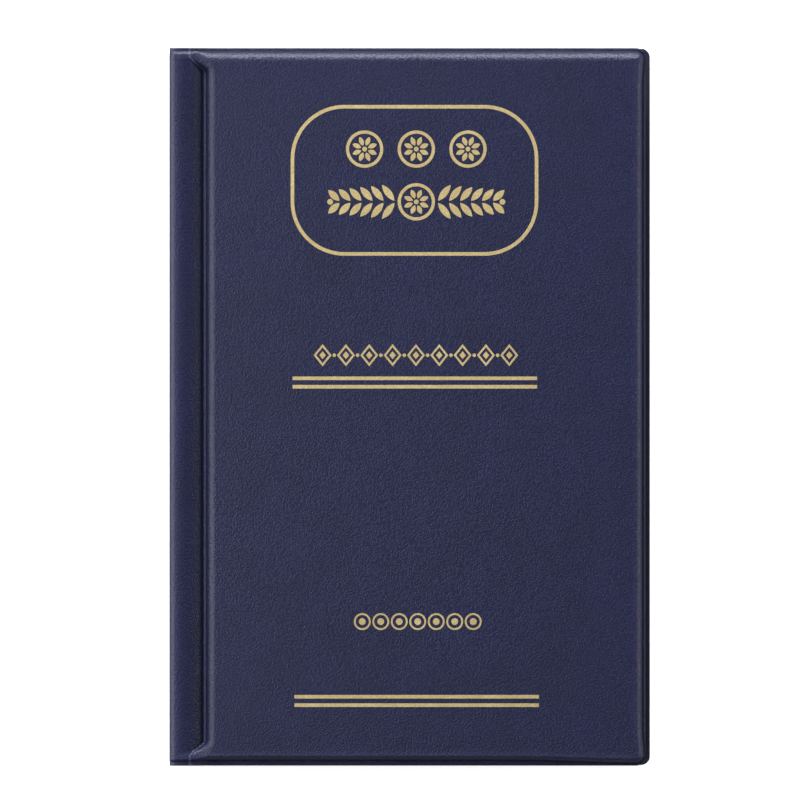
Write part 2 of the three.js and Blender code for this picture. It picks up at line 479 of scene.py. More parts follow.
class Effects:
    """The shared effects, each one node group that is made once."""

    def __init__(self) -> None:
        """Makes the three groups."""
        self.grain = self.make_grain()
        self.mottle = self.make_mottle()
        self.specks = self.make_specks()

    @staticmethod
    def make_grain() -> bpy.types.ShaderNodeTree:
        """Pebbled grain of embossed sheet.

        Returns:
            A group that takes Vector, Scale and Wander and gives Height and Pores.
        """
        inputs = {"Vector": None, "Scale": 1000.0, "Wander": 0.0003}
        group, tree, source, out = new_group("pebble_grain", inputs, ("Height", "Pores"))
        vector, scale = source["Vector"], source["Scale"]
        drift = tree.add("TexNoise", {"Vector": vector, "Scale": tree.times(scale, 0.6), "Detail": 2.0})
        middle = (0.5, 0.5, 0.5)
        centred = tree.add("VectorMath", {0: drift.outputs["Color"], 1: middle}, operation="SUBTRACT")
        moved = tree.add("VectorMath", {0: centred.outputs[0]}, operation="SCALE")
        tree.feed(moved, "Scale", source["Wander"])
        place = tree.add("VectorMath", {0: vector, 1: moved.outputs[0]}, operation="ADD").outputs[0]
        cell_inputs = {"Vector": place, "Scale": scale, "Smoothness": 0.35}
        cells = tree.add("TexVoronoi", cell_inputs, feature="SMOOTH_F1").outputs["Distance"]
        fine_inputs = {"Vector": vector, "Scale": tree.times(scale, 2.3), "Detail": 3.0, "Roughness": 0.6}
        fine = tree.add("TexNoise", fine_inputs).outputs[0]
        dome = tree.span(cells, 0.05, 0.7, 1.0, 0.0)
        tree.feed(out, "Height", tree.math("ADD", tree.times(dome, 0.7), tree.times(fine, 0.45)))
        tree.feed(out, "Pores", tree.span(cells, 0.35, 0.65))
        return group

    @staticmethod
    def make_mottle() -> bpy.types.ShaderNodeTree:
        """Slow and fine variation of a tone.

        Returns:
            A group that takes Vector, Scale and Contrast and gives Mask, about 0.5 on average.
        """
        inputs = {"Vector": None, "Scale": 40.0, "Contrast": 1.0}
        group, tree, source, out = new_group("tone_mottle", inputs, ("Mask",))
        vector, scale = source["Vector"], source["Scale"]
        slow = tree.add("TexNoise", {"Vector": vector, "Scale": scale, "Detail": 3.0}).outputs[0]
        fine_inputs = {"Vector": vector, "Scale": tree.times(scale, 19.0), "Detail": 4.0}
        fine = tree.add("TexNoise", fine_inputs).outputs[0]
        both = tree.math("ADD", tree.times(slow, 0.5), tree.times(fine, 0.5))
        lifted = tree.times(tree.math("SUBTRACT", both, 0.5), source["Contrast"])
        tree.feed(out, "Mask", tree.math("ADD", lifted, 0.5, clamp=True))
        return group

    @staticmethod
    def make_specks() -> bpy.types.ShaderNodeTree:
        """Sparse specks of dust and lint.

        Returns:
            A group that takes Vector, Scale, Size and Share and gives Mask.
        """
        inputs = {"Vector": None, "Scale": 120.0, "Size": 0.03, "Share": 0.05}
        group, tree, source, out = new_group("dust_specks", inputs, ("Mask",))
        cells = tree.add("TexVoronoi", {"Vector": source["Vector"], "Scale": source["Scale"]})
        luck = tree.add("SeparateColor", {0: cells.outputs["Color"]}).outputs[0]
        chosen = tree.math("LESS_THAN", luck, source["Share"])
        away = tree.math("DIVIDE", cells.outputs["Distance"], source["Size"])
        close = tree.math("SUBTRACT", 1.0, away, clamp=True)
        tree.feed(out, "Mask", tree.math("MULTIPLY", chosen, close, clamp=True))
        return group


def new_material(name: str) -> tuple[bpy.types.Material, Tree, bpy.types.Node, bpy.types.NodeSocket]:
    """Makes a material with its shader.

    Args:
        name: The material's name.

    Returns:
        The material, its tree helper, its Principled shader and the object's own coordinates.
    """
    material = bpy.data.materials.new(name)
    material.use_nodes = True
    tree = Tree(material.node_tree)
    shader = material.node_tree.nodes["Principled BSDF"]
    place = tree.add("TexCoord").outputs["Object"]
    return material, tree, shader, place


@dataclass(frozen=True)
class Leatherette:
    """Navy PVC sheet embossed with a fine leather grain, on foam."""

    name: str = "navy_leatherette"
    light: Colour = (0.022, 0.026, 0.088)
    dark: Colour = (0.005, 0.007, 0.034)
    # A light tone for worn skin, which also paints highlight on the weld, the shoulders and the fold.
    rubbed_and_highlight_tone: Colour = (0.13, 0.125, 0.25)
    # Near-black tone of painted shade in the creases beside the weld, on the hinge strip and at the foot of
    # the padding.
    painted_crease_shade: Colour = (0.002, 0.003, 0.012)
    dust: Colour = (0.3, 0.3, 0.34)
    roughness: float = 0.37
    grain_scale: float = 2000.0
    grain_depth: float = 0.11 * MM

    def material(self, effects: Effects) -> bpy.types.Material:
        """Makes the material, which reads where the skin is worn and lightened by painted highlight, and
        where painted shade darkens its creases.

        Args:
            effects: The shared effects.

        Returns:
            The material.
        """
        material, tree, shader, place = new_material(self.name)
        grain = tree.effect(effects.grain, Vector=place, Scale=self.grain_scale, Wander=0.0004)
        mottle = tree.effect(effects.mottle, Vector=place, Scale=85.0, Contrast=1.5).outputs["Mask"]
        specks = tree.effect(effects.specks, Vector=place, Scale=75.0, Size=0.022, Share=0.05)
        # Read per point: where the skin is worn and carries a painted highlight.
        wear_and_highlight = tree.add("Attribute", attribute_name="wear_and_highlight").outputs["Fac"]
        # Read per point: how much painted shade darkens the creases.
        shaded_crease = tree.add("Attribute", attribute_name="shaded_crease").outputs["Fac"]
        tone = tree.mix(mottle, rgba(self.dark), rgba(self.light))
        tone = tree.mix(tree.times(grain.outputs["Pores"], 0.5), tone, rgba(self.dark))
        # Mixes in the light tone: partly real wear, partly painted highlight on the weld, shoulders and fold.
        tone = tree.mix(tree.times(wear_and_highlight, 0.5), tone, rgba(self.rubbed_and_highlight_tone))
        # Darkens the creases with painted shade.
        tone = tree.mix(tree.times(shaded_crease, 0.9), tone, rgba(self.painted_crease_shade))
        tone = tree.mix(tree.times(specks.outputs["Mask"], 0.6), tone, rgba(self.dust))
        tree.feed(shader, "Base Color", tone)
        rough = tree.span(mottle, 0.0, 1.0, self.roughness + 0.06, self.roughness - 0.05)
        rough = tree.math("SUBTRACT", rough, tree.times(wear_and_highlight, 0.06))
        tree.feed(shader, "Roughness", tree.math("SUBTRACT", rough, tree.times(shaded_crease, 0.08)))
        tree.bump(shader, grain.outputs["Height"], self.grain_depth, 0.9)
        return material


@dataclass(frozen=True)
class PlasticFilm:
    """Plain PVC sheet or moulded strip with a faint grain."""

    name: str
    colour: Colour
    second: Colour
    roughness: float
    grain_scale: float
    grain_depth: float = 0.02 * MM
    dust: Colour = (0.3, 0.3, 0.34)

    def material(self, effects: Effects) -> bpy.types.Material:
        """Makes the material.

        Args:
            effects: The shared effects.

        Returns:
            The material.
        """
        material, tree, shader, place = new_material(self.name)
        grain = tree.effect(effects.grain, Vector=place, Scale=self.grain_scale, Wander=0.0006)
        mottle = tree.effect(effects.mottle, Vector=place, Scale=45.0, Contrast=1.8).outputs["Mask"]
        specks = tree.effect(effects.specks, Vector=place, Scale=90.0, Size=0.02, Share=0.06)
        body = tree.mix(mottle, rgba(self.colour), rgba(self.second))
        dusty = tree.mix(tree.times(specks.outputs["Mask"], 0.5), body, rgba(self.dust))
        tree.feed(shader, "Base Color", dusty)
        spread = 0.05
        rough = tree.span(mottle, 0.0, 1.0, self.roughness + spread, self.roughness - spread)
        tree.feed(shader, "Roughness", rough)
        tree.bump(shader, grain.outputs["Height"], self.grain_depth, 0.8)
        return material


@dataclass(frozen=True)
class ClearFilm:
    """Clear soft PVC: a faint sheet that shows most on its weld lines and where it is seen edge on."""

    name: str = "clear_pocket_film"
    colour: Colour = (0.5, 0.55, 0.6)
    milky: Colour = (0.7, 0.73, 0.78)
    see: float = 0.1
    weld_see: float = 0.25
    edge_see: float = 0.3
    speck_see: float = 0.4
    grain_depth: float = 0.03 * MM

    def material(self, effects: Effects) -> bpy.types.Material:
        """Makes the material, which reads where the film is welded.

        Args:
            effects: The shared effects.

        Returns:
            The material.
        """
        material, tree, shader, place = new_material(self.name)
        weld = tree.add("Attribute", attribute_name="weld").outputs["Fac"]
        mottle = tree.effect(effects.mottle, Vector=place, Scale=70.0, Contrast=2.0).outputs["Mask"]
        grain = tree.effect(effects.grain, Vector=place, Scale=900.0, Wander=0.0008)
        specks = tree.effect(effects.specks, Vector=place, Scale=110.0, Size=0.03, Share=0.08)
        tree.feed(shader, "Base Color", tree.mix(weld, rgba(self.colour), rgba(self.milky)))
        rough = tree.span(mottle, 0.0, 1.0, 0.12, 0.24)
        tree.feed(shader, "Roughness", tree.math("ADD", rough, tree.times(weld, 0.25)))
        grazing = tree.add("LayerWeight", {"Blend": 0.35}).outputs["Facing"]
        seen = tree.math("ADD", self.see, tree.times(weld, self.weld_see))
        seen = tree.math("ADD", seen, tree.times(grazing, self.edge_see))
        seen = tree.math("ADD", seen, tree.times(specks.outputs["Mask"], self.speck_see), clamp=True)
        tree.feed(shader, "Alpha", seen)
        knurl = tree.times(grain.outputs["Height"], tree.math("ADD", 0.08, weld))
        tree.bump(shader, knurl, self.grain_depth, 0.6)
        return material


@dataclass(frozen=True)
class GoldFoil:
    """Satin gold foil hot-stamped into the grain."""

    name: str = "stamped_gold_foil"
    light: Colour = (0.78, 0.64, 0.33)
    dark: Colour = (0.52, 0.4, 0.18)
    grain_depth: float = 0.03 * MM

    def material(self, effects: Effects) -> bpy.types.Material:
        """Makes the material.

        Args:
            effects: The shared effects.

        Returns:
            The material.
        """
        material, tree, shader, place = new_material(self.name)
        grain = tree.effect(effects.grain, Vector=place, Scale=1600.0, Wander=0.0004)
        mottle = tree.effect(effects.mottle, Vector=place, Scale=160.0, Contrast=2.6).outputs["Mask"]
        body = tree.mix(mottle, rgba(self.dark), rgba(self.light))
        pits = tree.times(grain.outputs["Pores"], 0.55)
        tree.feed(shader, "Base Color", tree.mix(pits, body, rgba(self.dark)))
        tree.feed(shader, "Metallic", tree.span(mottle, 0.0, 1.0, 0.45, 0.3))
        tree.feed(shader, "Roughness", tree.span(mottle, 0.0, 1.0, 0.6, 0.42))
        tree.bump(shader, grain.outputs["Height"], self.grain_depth, 1.0)
        return material


@dataclass(frozen=True)
class Fibrous:
    """Greyboard or foam: a matt, fibrous or cellular body."""

    name: str
    light: Colour
    dark: Colour
    grain_scale: float
    grain_depth: float

    def material(self, effects: Effects) -> bpy.types.Material:
        """Makes the material.

        Args:
            effects: The shared effects.

        Returns:
            The material.
        """
        material, tree, shader, place = new_material(self.name)
        grain = tree.effect(effects.grain, Vector=place, Scale=self.grain_scale, Wander=0.001)
        mottle = tree.effect(effects.mottle, Vector=place, Scale=120.0, Contrast=3.0).outputs["Mask"]
        body = tree.mix(mottle, rgba(self.dark), rgba(self.light))
        tree.feed(shader, "Base Color", tree.mix(grain.outputs["Pores"], body, rgba(self.dark)))
        tree.feed(shader, "Roughness", tree.span(mottle, 0.0, 1.0, 0.95, 0.85))
        tree.bump(shader, grain.outputs["Height"], self.grain_depth, 1.0)
        return material


class Finishes:
    """Every material of the album, made once."""

    def __init__(self) -> None:
        """Makes the shared effects and the materials."""
        liner = PlasticFilm("navy_liner_film", (0.014, 0.016, 0.036), (0.024, 0.027, 0.055), 0.5, 700.0)
        strip = PlasticFilm("binding_strip_pvc", (0.012, 0.013, 0.026), (0.02, 0.022, 0.04), 0.4, 500.0)
        board = Fibrous("greyboard", (0.36, 0.33, 0.28), (0.24, 0.22, 0.19), 900.0, 0.06 * MM)
        foam = Fibrous("padding_foam", (0.72, 0.69, 0.58), (0.5, 0.47, 0.38), 1500.0, 0.12 * MM)
        effects = Effects()
        self.leatherette = Leatherette().material(effects)
        self.liner = liner.material(effects)
        self.binding = strip.material(effects)
        self.clear = ClearFilm().material(effects)
        self.foil = GoldFoil().material(effects)
        self.greyboard = board.material(effects)
        self.foam = foam.material(effects)


# ---------------------------------------------------------------- cover


class Side(Enum):
    """Which cover a piece belongs to, as the direction it faces along Z."""

    FRONT = 1
    BACK = -1

    @property
    def word(self) -> str:
        """The name used in nodes and bodies."""
        return self.name.lower()


@dataclass(frozen=True)
class CoverSection:
    """The shape of one cover. Heights are measured outwards from the middle of the closed album."""

    side: Side
    left: float
    fore: float
    half: float
    middle: float
    top: float
    rim_face: float
    skin: float
    crown: float
    crown_across: float = 4.0
    crown_along: float = 6.0
    wave_seed: int = 11
    wave_length: float = 70.0 * MM
    wave_height: float = 0.025 * MM
    # the fold and the hinge strip
    fold_radius: float = 1.6 * MM
    fold_drop: float = 0.15 * MM
    strip_power: float = 2.2
    strip_foot: float = 0.35 * MM
    strip_pinch: float = 0.5 * MM
    pinch_run: float = 3.0 * MM
    pinch_end: float = 0.9 * MM
    # the rim around the padding, with its bead
    rim_head: float = 0.9 * MM
    rim_tail: float = 1.45 * MM
    rim_fore: float = 0.75 * MM
    corner: float = 2.5 * MM
    fore_flare: float = 0.55
    fore_flare_start: float = 11.0 * MM
    fore_flare_run: float = 9.0 * MM
    tail_flare: float = 0.5
    tail_flare_start: float = 36.0 * MM
    tail_flare_run: float = 34.0 * MM
    bead_height: float = 0.15 * MM
    bead_place: float = 0.5 * MM
    bead_width: float = 0.22 * MM
    bead_start: float = 1.0 * MM
    bead_run: float = 2.0 * MM
    edge_width: float = 0.17 * MM
    edge_depth: float = 0.1 * MM
    # the padding's shoulders
    pad_corner: float = 2.2 * MM
    shoulder_head: float = 2.9 * MM
    shoulder_tail: float = 1.5 * MM
    shoulder_fore: float = 2.2 * MM
    shoulder_blend: float = 4.0 * MM
    shoulder_rounding: float = 0.25
    shoulder_power: float = 2.1
    shoulder_root: float = 1.6
    # the welded groove, which bends towards the fold at head and tail
    groove_shoulder: float = 2.55 * MM
    groove_spread: float = 1.4
    groove_offset: float = 10.03 * MM
    groove_half: float = 0.33 * MM
    weld_height: float = 0.42 * MM
    weld_width: float = 0.22 * MM
    weld_loss: float = 0.4
    weld_end: float = 1.8 * MM
    weld_run: float = 1.6 * MM
    crease_depth: float = 0.2 * MM
    crease_offset: float = 0.8 * MM
    crease_width: float = 0.4 * MM
    bend_start: float = 93.0 * MM
    bend_length: float = 4.7 * MM
    bend_reach: float = 4.3 * MM
    bend_rise: float = 2.2 * MM
    bend_run: float = 6.0 * MM
    follow_before: float = 1.0 * MM
    follow_after: float = 4.5 * MM
    follow_run: float = 14.0 * MM

    @property
    def fold(self) -> float:
        """Where the rounded fold ends and the hinge strip begins."""
        return self.left + self.fold_radius

    @property
    def fold_top(self) -> float:
        """Height of the strip at the fold."""
        return self.top - self.fold_drop

    @property
    def groove(self) -> float:
        """Where the straight part of the groove's weld lies."""
        return self.left + self.groove_offset

    def bend(self, y: Field) -> Field:
        """How far along y the groove has turned towards the fold, 0 to 1."""
        return smooth_step((np.abs(y) - self.bend_start) / self.bend_length)

    def groove_at(self, y: Field) -> Field:
        """Where the groove's weld lies at y."""
        return self.left + self.groove_offset - self.bend_reach * self.bend(y)

    def edge_distance(self, x: Field, y: Field) -> Field:
        """Distance inside the cover's outline, whose corners at the fore edge are round.

        Args:
            x: Positions across.
            y: Positions along.

        Returns:
            The distances.
        """
        over_x = x - (self.fore - self.corner)
        over_y = np.abs(y) - (self.half - self.corner)
        outside = np.hypot(np.maximum(over_x, 0.0), np.maximum(over_y, 0.0))
        return self.corner - outside - np.minimum(np.maximum(over_x, over_y), 0.0)

    def pad_distance(self, x: Field, y: Field) -> Field:
        """Distance inside the foot of the padding, negative on the rim.

        Args:
            x: Positions across.
            y: Positions along.

        Returns:
            The distances.
        """
        flare = smooth_step((np.abs(y) - (self.half - self.fore_flare_start)) / self.fore_flare_run)
        from_fore = self.fore - self.rim_fore * (1.0 - self.fore_flare * flare) - x
        flare = smooth_step((x - self.fore + self.tail_flare_start) / self.tail_flare_run)
        tail = self.rim_tail * (1.0 - self.tail_flare * flare)
        from_end = self.half - np.where(y > 0.0, self.rim_head, tail) - np.abs(y)
        short_x, short_y = self.pad_corner - from_fore, self.pad_corner - from_end
        outside = np.hypot(np.maximum(short_x, 0.0), np.maximum(short_y, 0.0))
        return self.pad_corner - outside - np.minimum(np.maximum(short_x, short_y), 0.0)

    def padding(self, x: Field, y: Field) -> Field:
        """How far the padding has risen.

        Args:
            x: Positions across.
            y: Positions along.

        Returns:
            The share of the full height: 0 on the rim and in the groove, 1 on top.
        """
        to_fore = self.fore - self.rim_fore - x
        to_end = self.half - np.abs(y) - self.rim_head
        nearer_end = smooth_step((to_fore - to_end) / self.shoulder_blend + 0.5)
        end = np.where(y > 0.0, self.shoulder_head, self.shoulder_tail)
        from_edge = self.pad_distance(x, y) / (self.shoulder_fore + (end - self.shoulder_fore) * nearer_end)
        width = self.groove_shoulder * (1.0 + self.groove_spread * self.bend(y))
        from_groove = (x - self.groove_at(y) - self.groove_half) / width
        share = np.clip(smooth_min(from_edge, from_groove, self.shoulder_rounding), 0.0, 1.0)
        return np.power(1.0 - np.power(1.0 - share, self.shoulder_power), 1.0 / self.shoulder_root)

    def strip_share(self, x: Field, y: Field) -> Field:
        """How far across the hinge strip a point is, 0 at the fold and 1 at the groove."""
        foot = self.groove_at(y) - self.strip_foot
        return np.clip((x - self.fold) / (foot - self.fold), 0.0, 1.0)

    def end_pinch(self, y: Field) -> Field:
        """How far the sheets are pressed together at the head and tail, 0 to 1."""
        return 1.0 - smooth_step((self.half - np.abs(y) - self.pinch_end) / self.pinch_end)

    def height(self, x: Field, y: Field) -> Field:
        """Height of the skin's outer face, from the fold to the fore edge.

        Args:
            x: Positions across.
            y: Positions along.

        Returns:
            The heights.
        """
        bend, groove = self.bend(y), self.groove_at(y)
        level = self.rim_face + self.bend_rise * bend * (1.0 - smooth_step((x - groove) / self.bend_run))
        strip = level + (self.fold_top - level) * (1.0 - self.strip_share(x, y) ** self.strip_power)
        pinched = self.end_pinch(y) * (1.0 - smooth_step((x - groove) / self.pinch_run))
        strip = strip - self.strip_pinch * pinched
        across = (x - (self.left + self.fore) / 2.0) / (self.fore - self.left) * 2.0
        along = y / self.half
        dome = (1.0 - np.abs(across) ** self.crown_across) * (1.0 - np.abs(along) ** self.crown_along)
        waves = gentle_waves(x, y, self.wave_seed, self.wave_length)
        full = self.top - self.crown * (1.0 - dome) + self.wave_height * (waves - 1.0)
        surface = strip + (full - strip) * self.padding(x, y)
        inside = smooth_step((self.half - np.abs(y) - self.weld_end) / self.weld_run)
        weld = self.weld_height * ridge(x - groove, self.weld_width) * (1.0 - self.weld_loss * bend) * inside
        shaded_crease = self.crease_depth * ridge(x - groove + self.crease_offset, self.crease_width) * (1.0 - bend)
        bead = self.bead_height * ridge(self.pad_distance(x, y) + self.bead_place, self.bead_width)
        bead = bead * smooth_step((x - groove - self.bead_start) / self.bead_run)
        edge = np.clip(1.0 - self.edge_distance(x, y) / self.edge_width, 0.0, 1.0)
        rounding = self.edge_depth * (1.0 - np.sqrt(np.maximum(1.0 - edge**2, 0.0)))
        return surface + weld - shaded_crease + bead - rounding

    def wear_and_highlight(self, x: Field, y: Field) -> Field:
        """How worn the skin is, which also places a painted highlight: fully on the weld, a little on the
        shoulders and the fold.
        """
        slight = 0.27
        shoulder = ridge(self.pad_distance(x, y) - 1.2 * MM, 1.1 * MM)
        fold = ridge(x - self.fold + 0.6 * MM, 1.4 * MM)
        weld = ridge(x - self.groove_at(y), 0.3 * MM)
        return np.clip(np.maximum(slight * np.maximum(shoulder, fold), weld), 0.0, 1.0)

    def shaded_crease(self, x: Field, y: Field) -> Field:
        """How much painted shade the skin gets in its creases: beside the weld, growing across the hinge
        strip towards the groove, and at the foot of the padding.
        """
        groove = self.groove_at(y)
        # Painted shade that grows across the hinge strip towards the groove.
        strip = self.strip_share(x, y) ** 2.5 * (x < groove - 0.2 * MM)
        beside = np.maximum(ridge(x - groove + self.crease_offset, 0.5 * MM), strip) * (1.0 - self.bend(y))
        foot = 0.5 * ridge(self.pad_distance(x, y) + 0.1 * MM, 0.3 * MM)
        return np.clip(np.maximum(beside, foot * (x > groove)), 0.0, 1.0)

    def follow_groove(self, x: Field, y: Field) -> Field:
        """Shifts points sideways, so that columns of points run along the groove where it bends.

        Args:
            x: Positions across on the straight part.
            y: Positions along.

        Returns:
            The shifted positions across.
        """
        reach = self.groove - self.follow_before - self.fold
        before = np.clip((x - self.fold) / reach, 0.0, 1.0)
        after = 1.0 - smooth_step((x - self.groove - self.follow_after) / self.follow_run)
        return x + (self.groove_at(y) - self.groove) * before * after

    def out(self, x: Field, y: Field, height: Field) -> Field:
        """Puts positions and heights together as points in the album's frame."""
        return np.stack([x, y, self.middle + self.side.value * height], axis=1)


@dataclass
class Cover:
    """One cover: leatherette skin, foam, board and liner, with half of the spine's covering."""

    side: Side
    finishes: Finishes
    layer_gap: float = 0.05 * MM
    front_crown: float = 0.4 * MM
    back_crown: float = 0.12 * MM
    spine_pinch: float = 0.06 * MM
    spine_swell: float = 0.12 * MM
    liner_bend: float = 0.9 * MM
    liner_rise: float = 2.3 * MM
    liner_foot: float = 0.5 * MM
    liner_pinch: float = 1.3 * MM
    liner_weld: float = 0.14 * MM
    liner_weld_place: float = 1.1 * MM
    liner_weld_width: float = 0.25 * MM
    foam_gap: float = 0.06 * MM
    foam_least: float = 0.1 * MM
    foam_corner: float = 2.5 * MM
    # taken from the frame
    word: str = field(init=False)
    wall: float = field(init=False)
    liner_face: float = field(init=False)
    liner_wall: float = field(init=False)
    liner_start: float = field(init=False)
    liner_crest: float = field(init=False)
    section: CoverSection = field(init=False)

    def __post_init__(self) -> None:
        """Takes the cover's sizes from the frame."""
        self.word = self.side.word
        skin_low, skin_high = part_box(f"{self.word}_skin")
        spine_low, spine_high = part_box("spine_skin")
        middle = (spine_low.z + spine_high.z) / 2.0
        self.wall = spine_high.x - spine_low.x
        front = self.side is Side.FRONT
        liner_faces = sorted(abs(corner.z - middle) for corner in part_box(f"{self.word}_liner"))
        self.liner_face = liner_faces[0]
        self.liner_wall = liner_faces[1] - liner_faces[0]
        self.liner_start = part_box("spine_liner")[1].x + self.liner_bend
        self.liner_crest = self.liner_face + self.liner_rise
        self.section = CoverSection(
            side=self.side,
            left=spine_low.x,
            fore=skin_high.x,
            half=skin_high.y,
            middle=middle,
            top=skin_high.z - middle if front else middle - skin_low.z,
            rim_face=liner_faces[1] + self.layer_gap + self.wall,
            skin=self.wall,
            crown=self.front_crown if front else self.back_crown,
            wave_seed=11 if front else 12,
        )

    def skin_rows(self) -> Field:
        """Stations from tail to head, close together at the rims and where the groove bends."""
        half = self.section.half
        rim, bend, flat = 1.6 * MM, 4.6 * MM, 10.0 * MM
        return stations(
            -half, (-half + rim, 14), (-half + bend, 14), (-half + flat, 12),
            (half - flat, 44), (half - bend, 12), (half - rim, 14), (half, 14),
        )

    def skin_columns(self) -> Field:
        """Stations from the middle of the spine round the fold to the fore edge.

        Returns:
            The stations, measured from the end of the fold.
        """
        c = self.section
        arc = QUARTER_TURN * c.fold_radius
        spine = c.fold_top - c.fold_radius
        width = c.fore - c.fold
        groove = c.groove - c.fold
        return stations(
            -arc - spine, (-arc, 8), (0.0, 8), (groove - 1.0 * MM, 12), (groove + 1.2 * MM, 22),
            (groove + 5.2 * MM, 16), (width - 4.4 * MM, 32), (width - 0.9 * MM, 20), (width, 10),
        )

    def skin_place(self, s: Field, y: Field) -> Field:
        """Where a point of the skin lies.

        Args:
            s: Stations from skin_columns.
            y: Stations along.

        Returns:
            One point for each pair of stations.
        """
        c = self.section
        x = c.follow_groove(c.fold + np.maximum(s, 0.0), y)
        x, y = round_corner(x, y, c.corner, c.fore, c.half)
        angle = np.clip(-s / c.fold_radius, 0.0, QUARTER_TURN)
        arc = QUARTER_TURN * c.fold_radius
        down = np.maximum(-s - arc, 0.0)
        centre = c.fold_top - c.fold_radius
        pinch = self.spine_pinch * c.end_pinch(y) * np.clip(-s / arc, 0.0, 1.0)
        swell = self.spine_swell * (1.0 - np.abs(2.0 * down / centre - 1.0) ** 2) * (down > 0.0)
        spine_x = c.fold - (c.fold_radius - pinch) * np.sin(angle) + swell
        fold_height = c.height(np.full_like(x, c.fold), y)
        spine_height = centre + (fold_height - centre) * np.cos(angle) - down
        on_spine = s < 0.0
        return c.out(np.where(on_spine, spine_x, x), y, np.where(on_spine, spine_height, c.height(x, y)))

    def build_skin(self) -> bpy.types.Object:
        """Makes the leatherette from the spine's middle to the fore edge."""
        name = f"{self.word}_cover_leatherette"
        piece = add_sheet(name, self.skin_columns(), self.skin_rows(), self.skin_place)
        if self.side is Side.BACK:
            turn_faces(piece)
        x, y, _ = points_of(piece).T
        # Marks where the skin is worn and gets a painted highlight.
        mark_points(piece, "wear_and_highlight", self.section.wear_and_highlight(x, y))
        # Marks where painted shade darkens the creases.
        mark_points(piece, "shaded_crease", self.section.shaded_crease(x, y))
        thicken(piece, self.wall)
        return finish_piece(piece, self.finishes.leatherette, 60.0)

    def liner_place(self, s: Field, y: Field) -> Field:
        """Where a point of the liner's page side lies.

        Args:
            s: Stations measured from the end of the liner's inner fold.
            y: Stations along.

        Returns:
            One point for each pair of stations.
        """
        c, start, radius = self.section, self.liner_start, self.liner_bend
        x = np.where(s > 0.0, c.follow_groove(np.maximum(start + s, c.fold), y), start)
        x, y = round_corner(x, y, c.corner, c.fore, c.half)
        groove = c.groove_at(y)
        share = np.clip((x - start) / (groove - self.liner_foot - start), 0.0, 1.0)
        flat = self.liner_face + self.liner_rise * (1.0 - share**c.strip_power)
        from_edge = c.edge_distance(x, y) - self.liner_weld_place
        weld = ridge(from_edge, self.liner_weld_width) + ridge(x - groove, self.liner_weld_width)
        arc = QUARTER_TURN * radius
        angle = np.clip(-s / radius, 0.0, QUARTER_TURN)
        down = np.maximum(-s - arc, 0.0)
        pinch = self.liner_pinch * c.end_pinch(y) * np.clip(-s / arc, 0.0, 1.0)
        spine_x = start - radius * np.sin(angle) - pinch
        spine_height = self.liner_crest - radius + radius * np.cos(angle) - down
        on_spine = s < 0.0
        height = np.where(on_spine, spine_height, flat + self.liner_weld * weld)
        return c.out(np.where(on_spine, spine_x, x), y, height)

    def build_liner(self) -> bpy.types.Object:
        """Makes the liner from the spine's middle to the fore edge."""
        c, half = self.section, self.section.half
        arc = QUARTER_TURN * self.liner_bend
        spine = self.liner_crest - self.liner_bend
        groove, width = c.groove - self.liner_start, c.fore - self.liner_start
        rim, flat = 2.4 * MM, 10.0 * MM
        columns = stations(
            -arc - spine, (-arc, 8), (0.0, 6), (groove - 1.0 * MM, 8), (groove + 1.0 * MM, 12),
            (groove + 5.0 * MM, 5), (width - 3.0 * MM, 24), (width, 18),
        )
        rows = stations(
            -half, (-half + rim, 16), (-half + flat, 12), (half - flat, 36), (half - rim, 12), (half, 16)
        )
        piece = add_sheet(f"{self.word}_cover_liner", columns, rows, self.liner_place)
        if self.side is Side.FRONT:
            turn_faces(piece)
        thicken(piece, self.liner_wall)
        return finish_piece(piece, self.finishes.liner, 60.0)

    def build_foam(self) -> bpy.types.Object:
        """Makes the foam pad, which is crowned under the skin and flat on the board.

        Returns:
            The pad.
        """
        c, way = self.section, self.side.value
        low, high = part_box(f"{self.word}_foam")
        base = min(abs(low.z - c.middle), abs(high.z - c.middle))
        rim = 3.0 * MM

        def place(x: Field, y: Field) -> Field:
            """Lies just under the skin."""
            x, y = round_corner(x, y, self.foam_corner, high.x, high.y)
            under = c.height(x, y) - c.skin - self.foam_gap
            return c.out(x, y, np.maximum(under, base + self.foam_least))

        columns = stations(low.x, (low.x + rim, 8), (high.x - rim, 30), (high.x, 10))
        rows = stations(-high.y, (-high.y + rim, 10), (high.y - rim, 40), (high.y, 10))
        piece = add_sheet(f"{self.word}_cover_foam", columns, rows, place)
        down = {"value": (0.0, 0.0, -way * MM)}
        work_whole(piece, bpy.ops.mesh.extrude_region_move, TRANSFORM_OT_translate=down)
        points = points_of(piece)
        lower = np.array([vertex.select for vertex in piece.data.vertices])
        points[lower, 2] = c.middle + way * base
        move_points(piece, points)
        work_whole(piece, bpy.ops.mesh.normals_make_consistent, inside=False)
        return finish_piece(piece, self.finishes.foam, 50.0)

    def at(self, x: float, height: float) -> tuple[float, float, float]:
        """A point of the section in the album's frame."""
        return (x, 0.0, self.section.middle + self.side.value * height)

    def build(self) -> None:
        """Makes the cover's pieces, joins the foam to the cover's body and hides the CAD parts they stand
        for.
        """
        c, word = self.section, self.word
        skin, liner, foam = self.build_skin(), self.build_liner(), self.build_foam()
        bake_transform(skin)
        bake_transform(liner)
        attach(foam, f"{word}_cover")
        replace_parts(skin, f"{word}_skin", f"{word}_hinge_strip")
        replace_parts(liner, f"{word}_liner")
        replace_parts(foam, f"{word}_foam")
        if self.side is Side.FRONT:
            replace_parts(skin, "spine_skin")
            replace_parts(liner, "spine_liner")
        dress_node(f"{word}_board", self.finishes.greyboard)


# ---------------------------------------------------------------- binding and leaves


